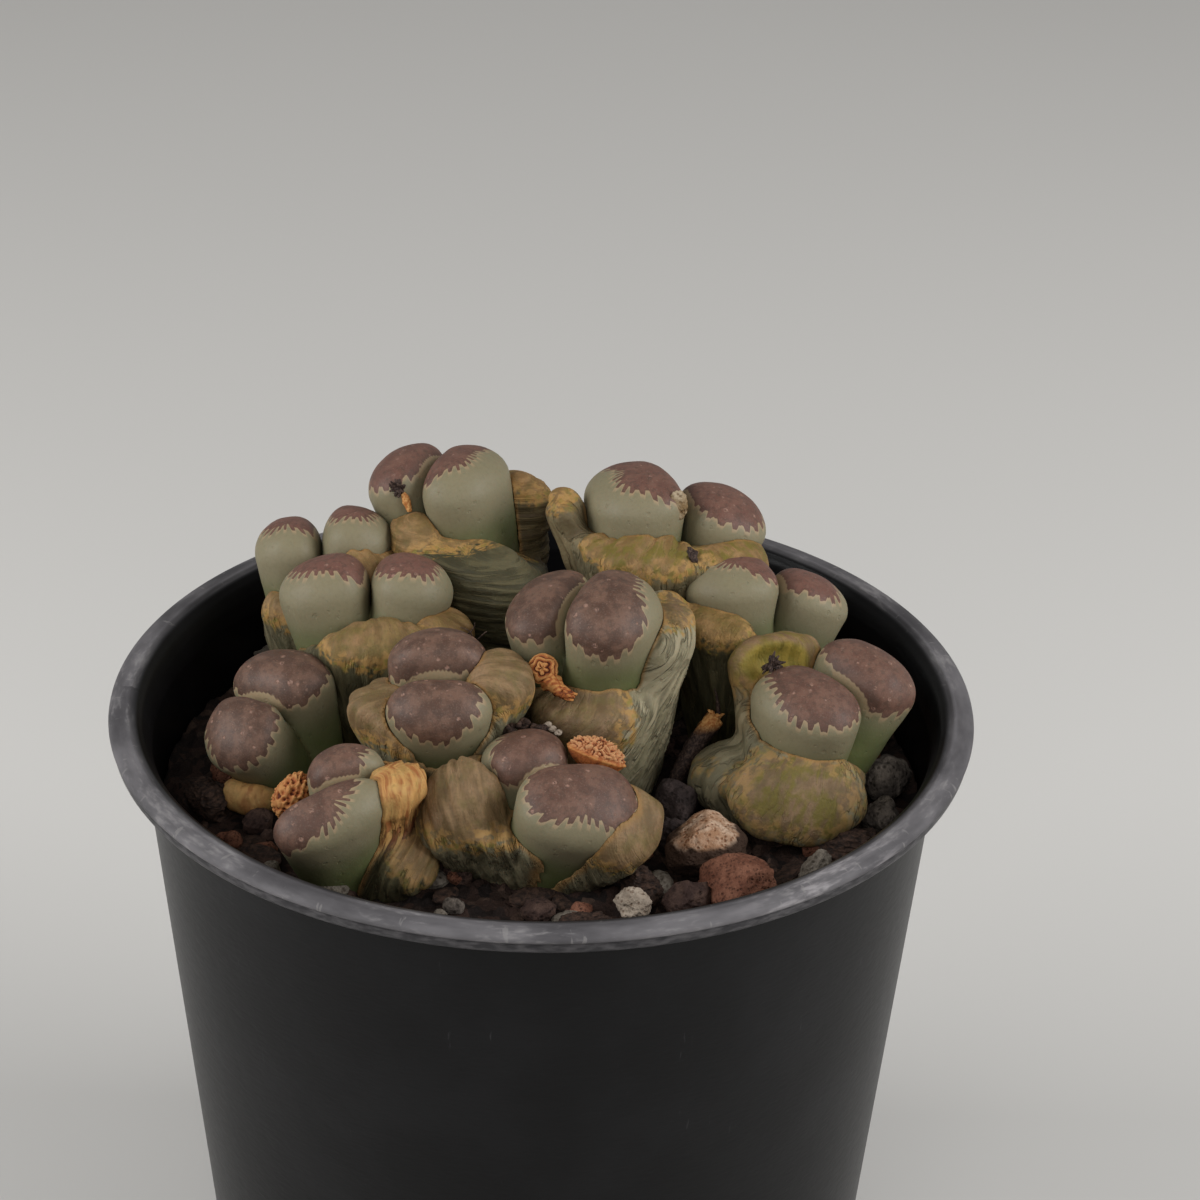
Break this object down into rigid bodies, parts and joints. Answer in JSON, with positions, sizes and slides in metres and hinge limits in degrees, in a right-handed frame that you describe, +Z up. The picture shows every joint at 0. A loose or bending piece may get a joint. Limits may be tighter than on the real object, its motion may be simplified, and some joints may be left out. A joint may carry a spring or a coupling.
{
  "type": "potted lithops",
  "caption": "Round dark nursery pot of living-stone plants: mauve-topped new leaf pairs push out of wrinkled old leaves above gritty mix with stones, bark and dried flowers.",
  "frame": {"origin": "middle of the pot's underside, on the plane that the foot ring stands on", "axes": "+Z up along the pot's axis; the pictured side faces -Y, with +X to its right"},
  "size_m": [0.12, 0.12, 0.1268],
  "materials": {
    "pot_plastic": "satin",
    "potting_mix": "matte",
    "new_leaf": "satin",
    "old_leaf": "matte",
    "dried_cup": "matte",
    "dried_dark": "matte",
    "pale_stone": "matte",
    "red_stone": "matte",
    "grey_stone": "matte",
    "bark": "matte"
  },
  "bodies": {
    "root": {"new_leaves_left": "new_leaf", "new_leaves_front_left": "new_leaf", "new_leaves_middle_left": "new_leaf", "new_leaves_left_middle": "new_leaf", "new_leaves_back_left_small": "new_leaf", "new_leaves_back_left": "new_leaf", "new_leaves_centre": "new_leaf", "new_leaves_front": "new_leaf", "new_leaves_back_right": "new_leaf", "new_leaves_right_middle": "new_leaf", "new_leaves_right": "new_leaf", "seed_cup_left": "dried_cup", "seed_cup_centre": "dried_cup", "seed_cup_front": "dried_cup", "dried_flower_right": "dried_dark", "dried_flower_back": "dried_dark", "dried_stalk": "dried_dark", "old_leaves_left": "old_leaf", "old_leaves_front_left": "old_leaf", "old_leaves_middle_left": "old_leaf", "old_leaves_left_middle": "old_leaf", "old_leaves_back_left_small": "old_leaf", "old_leaves_back_left": "old_leaf", "old_leaves_centre": "old_leaf", "old_leaves_front": "old_leaf", "old_leaves_back_right": "old_leaf", "old_leaves_right_middle": "old_leaf", "old_leaves_right": "old_leaf", "stone_pumice": "pale_stone", "stone_lava": "red_stone", "stone_grey_round": "grey_stone", "stone_grey_small": "grey_stone", "stone_pointed": "pale_stone", "stone_white": "pale_stone", "stone_middle": "grey_stone", "stone_middle_small": "grey_stone", "stone_front_brown": "red_stone", "stone_pale_flat": "pale_stone", "bark_right": "bark", "bark_front_right": "bark", "bark_middle": "bark", "bark_front": "bark", "bark_left": "bark", "soil": "potting_mix", "pot": "pot_plastic"}
  },
  "joints": []
}
